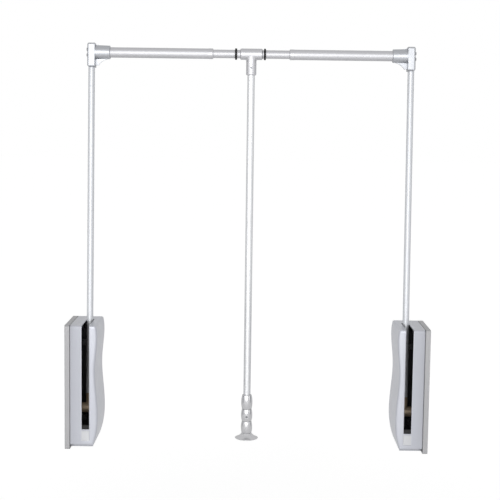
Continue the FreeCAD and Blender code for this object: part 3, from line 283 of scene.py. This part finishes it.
FINISHES = {
    "case": silver_paint(
        "case_paint", srgb(191, 193, 201), roughness=0.32, metallic=0.42,
        edge=CASE_EDGE, inside=CASE_INSIDE, crown=CASE_CROWN, pad=PAD,
    ),
    "plate": silver_paint(
        "plate_paint", srgb(170, 170, 172), roughness=0.46, metallic=0.25, inside=PLATE_INSIDE,
    ),
    "grip": silver_paint("grip_paint", srgb(186, 186, 188), roughness=0.24, metallic=0.88),
    "foot": silver_paint("foot_paint", srgb(194, 194, 196), roughness=0.3, metallic=0.8),
    "arm_tube": drawn("arm_tube", srgb(204, 206, 210), 0.42, ALONG_Z, metallic=0.45),
    "pull_rod": drawn("pull_rod", srgb(204, 205, 207), 0.42, ALONG_Z),
    "rail_tube": drawn("rail_tube", srgb(187, 187, 190), 0.52, ALONG_X),
    "casting": cast("casting", srgb(186, 186, 189), 0.4, grain=0.000006),
    "connector": cast("connector_coat", srgb(172, 174, 178), 0.42, grain=0.000008),
    "steel": cast("bright_steel", srgb(190, 192, 196), 0.28),
    "grey_steel": cast("grey_steel", srgb(126, 127, 130), 0.4),
    "dark_steel": cast("dark_steel", srgb(84, 85, 90), 0.4),
    "plated": cast("plated_steel", srgb(168, 150, 128), 0.45, metallic=0.4),
    "black": moulded("black_plastic", srgb(12, 12, 13), 0.5, specular=0.25),
    "rubber": moulded("rubber", srgb(16, 16, 17), 0.8, grain=0.00004),
    "pale": moulded("pale_plastic", srgb(205, 206, 206), 0.5),
    "painted": moulded("dark_paint", srgb(38, 39, 43), 0.4),
}

# The finish of each node. Those of the left and right side share one name here.
SIDED = {
    "wall_plate": "plate",
    "case": "case",
    "case_screws": "steel",
    "pivot_axle": "steel",
    "pivot_bushes": "pale",
    "swing_lever": "plated",
    "arm_tube": "arm_tube",
    "arm_pin": "steel",
    "drive_rack": "plated",
    "rack_guide": "black",
    "gas_strut_rod": "steel",
    "gas_strut_cylinder": "painted",
    "strut_bracket": "dark_steel",
    "damper_body": "painted",
    "damper_pinion": "pale",
    "up_bumper": "rubber",
    "down_bumper": "rubber",
    "rail_connector": "connector",
    "connector_screws": "dark_steel",
    "outer_tube": "rail_tube",
    "rail_plug": "black",
    "tube_collar": "casting",
}
CENTRAL = {
    "inner_tube": "rail_tube",
    "stop_rings": "black",
    "tee_fitting": "casting",
    "tee_set_screw": "grey_steel",
    "pull_rod": "pull_rod",
    "handle_foot": "foot",
    "handle_grip": "grip",
    "handle_screw": "grey_steel",
}

for name, piece in nodes.items():
    side, _, rest = name.partition("_")
    finish = SIDED[rest] if side in ("left", "right") else CENTRAL[name]
    for slot in piece.material_slots:
        slot.material = FINISHES[finish]


# Background and floor: white to the eye, with the shadow kept on the floor. The floor lies below
# the housings, clear of the rail when it is swung down.

ROOM_LEVEL = 0.42
BACKGROUND_LEVEL = 1.0
FLOOR_SIZE = 60
FLOOR_LEVEL = -0.35
FLOOR_GREY = (0.6, 0.6, 0.6, 1)
# The floor glows a little by itself, and more between these two distances, as the lamps fall off.
GLOW_NEAR = 0.66
GLOW_FAR = 0.75
GLOW_START = 0.5
GLOW_END = 2.0


def seen_white(tree):
    """1 for a ray that shows the background itself: from the camera, or by way of metal or glass."""
    path = tree.nodes.new("ShaderNodeLightPath")
    total = path.outputs["Is Camera Ray"]
    for name in ("Is Glossy Ray", "Is Transmission Ray"):
        node = tree.nodes.new("ShaderNodeMath")
        node.operation = "MAXIMUM"
        tree.links.new(total, node.inputs[0])
        tree.links.new(path.outputs[name], node.inputs[1])
        total = node.outputs["Value"]
    return total


world = bpy.data.worlds.new("studio")
scene.world = world
world.use_nodes = True
tree = world.node_tree
background = tree.nodes["Background"]
background.inputs["Color"].default_value = WHITE
level = tree.nodes.new("ShaderNodeMapRange")
level.inputs["To Min"].default_value = ROOM_LEVEL
level.inputs["To Max"].default_value = BACKGROUND_LEVEL
tree.links.new(seen_white(tree), level.inputs["Value"])
tree.links.new(level.outputs["Result"], background.inputs["Strength"])

bpy.ops.mesh.primitive_plane_add(size=FLOOR_SIZE, location=(0, 0, FLOOR_LEVEL))
floor = bpy.context.object
floor.name = "floor"
shader = Shader("floor")
shader.set(Base_Color=FLOOR_GREY, Roughness=1.0, Specular_IOR_Level=0.0, Emission_Color=WHITE)
distance = shader.add("ShaderNodeVectorMath", operation="LENGTH")
shader.link(shader.coordinates, distance.inputs[0])
glow = shader.span(distance.outputs["Value"], GLOW_NEAR, GLOW_FAR, GLOW_START, GLOW_END)
shader.feed("Emission Strength", shader.math("MULTIPLY", seen_white(shader.tree), glow))
floor.data.materials.append(shader.material)


# Soft studio lamps: a wide one behind the camera, and two faint ones at the sides.

LAMPS = {
    "front": {"place": (-0.3, -2.9, 0.85), "target": (0, 0, 0.5), "size": (2.8, 1.7), "watts": 52},
    "left": {"place": (-2.4, -1.6, 0.6), "target": (0.2, 0, 0.4), "size": (1.0, 1.1), "watts": 4},
    "right": {"place": (2.4, -1.6, 0.6), "target": (-0.2, 0, 0.4), "size": (1.0, 1.1), "watts": 4},
}


def softbox(name, place, target, size, watts):
    lamp = bpy.data.lights.new(name, "AREA")
    lamp.shape = "RECTANGLE"
    lamp.size, lamp.size_y = size
    lamp.energy = watts
    holder = bpy.data.objects.new(name, lamp)
    holder.location = place
    holder.rotation_euler = (Vector(target) - Vector(place)).to_track_quat("-Z", "Y").to_euler()
    holder.visible_camera = False
    scene.collection.objects.link(holder)


for name, settings in LAMPS.items():
    softbox(name, **settings)


# Camera, fitted to the photograph, which is 500 pixels wide.

CAMERA_PLACE = (0.0081, -2.5333, 0.7000)
CAMERA_YAW = math.radians(-0.124)
CAMERA_PITCH = math.radians(6.155)
CAMERA_ROLL = math.radians(0.769)
FOCAL_PIXELS = 1183.8
PHOTO_PIXELS = 500
SENSOR_WIDTH = 36

forward = Vector((
    math.sin(CAMERA_YAW) * math.cos(CAMERA_PITCH),
    math.cos(CAMERA_YAW) * math.cos(CAMERA_PITCH),
    -math.sin(CAMERA_PITCH),
))
level_right = Vector((math.cos(CAMERA_YAW), -math.sin(CAMERA_YAW), 0))
level_up = level_right.cross(forward)
right = level_right * math.cos(CAMERA_ROLL) + level_up * math.sin(CAMERA_ROLL)
up = level_up * math.cos(CAMERA_ROLL) - level_right * math.sin(CAMERA_ROLL)
data = bpy.data.cameras.new("camera")
data.sensor_width = SENSOR_WIDTH
data.lens = FOCAL_PIXELS * SENSOR_WIDTH / PHOTO_PIXELS
camera = bpy.data.objects.new("camera", data)
turn = Matrix((right, up, -forward)).transposed().to_4x4()
camera.matrix_world = Matrix.Translation(CAMERA_PLACE) @ turn
scene.collection.objects.link(camera)
scene.camera = camera
scene.view_settings.view_transform = "Standard"
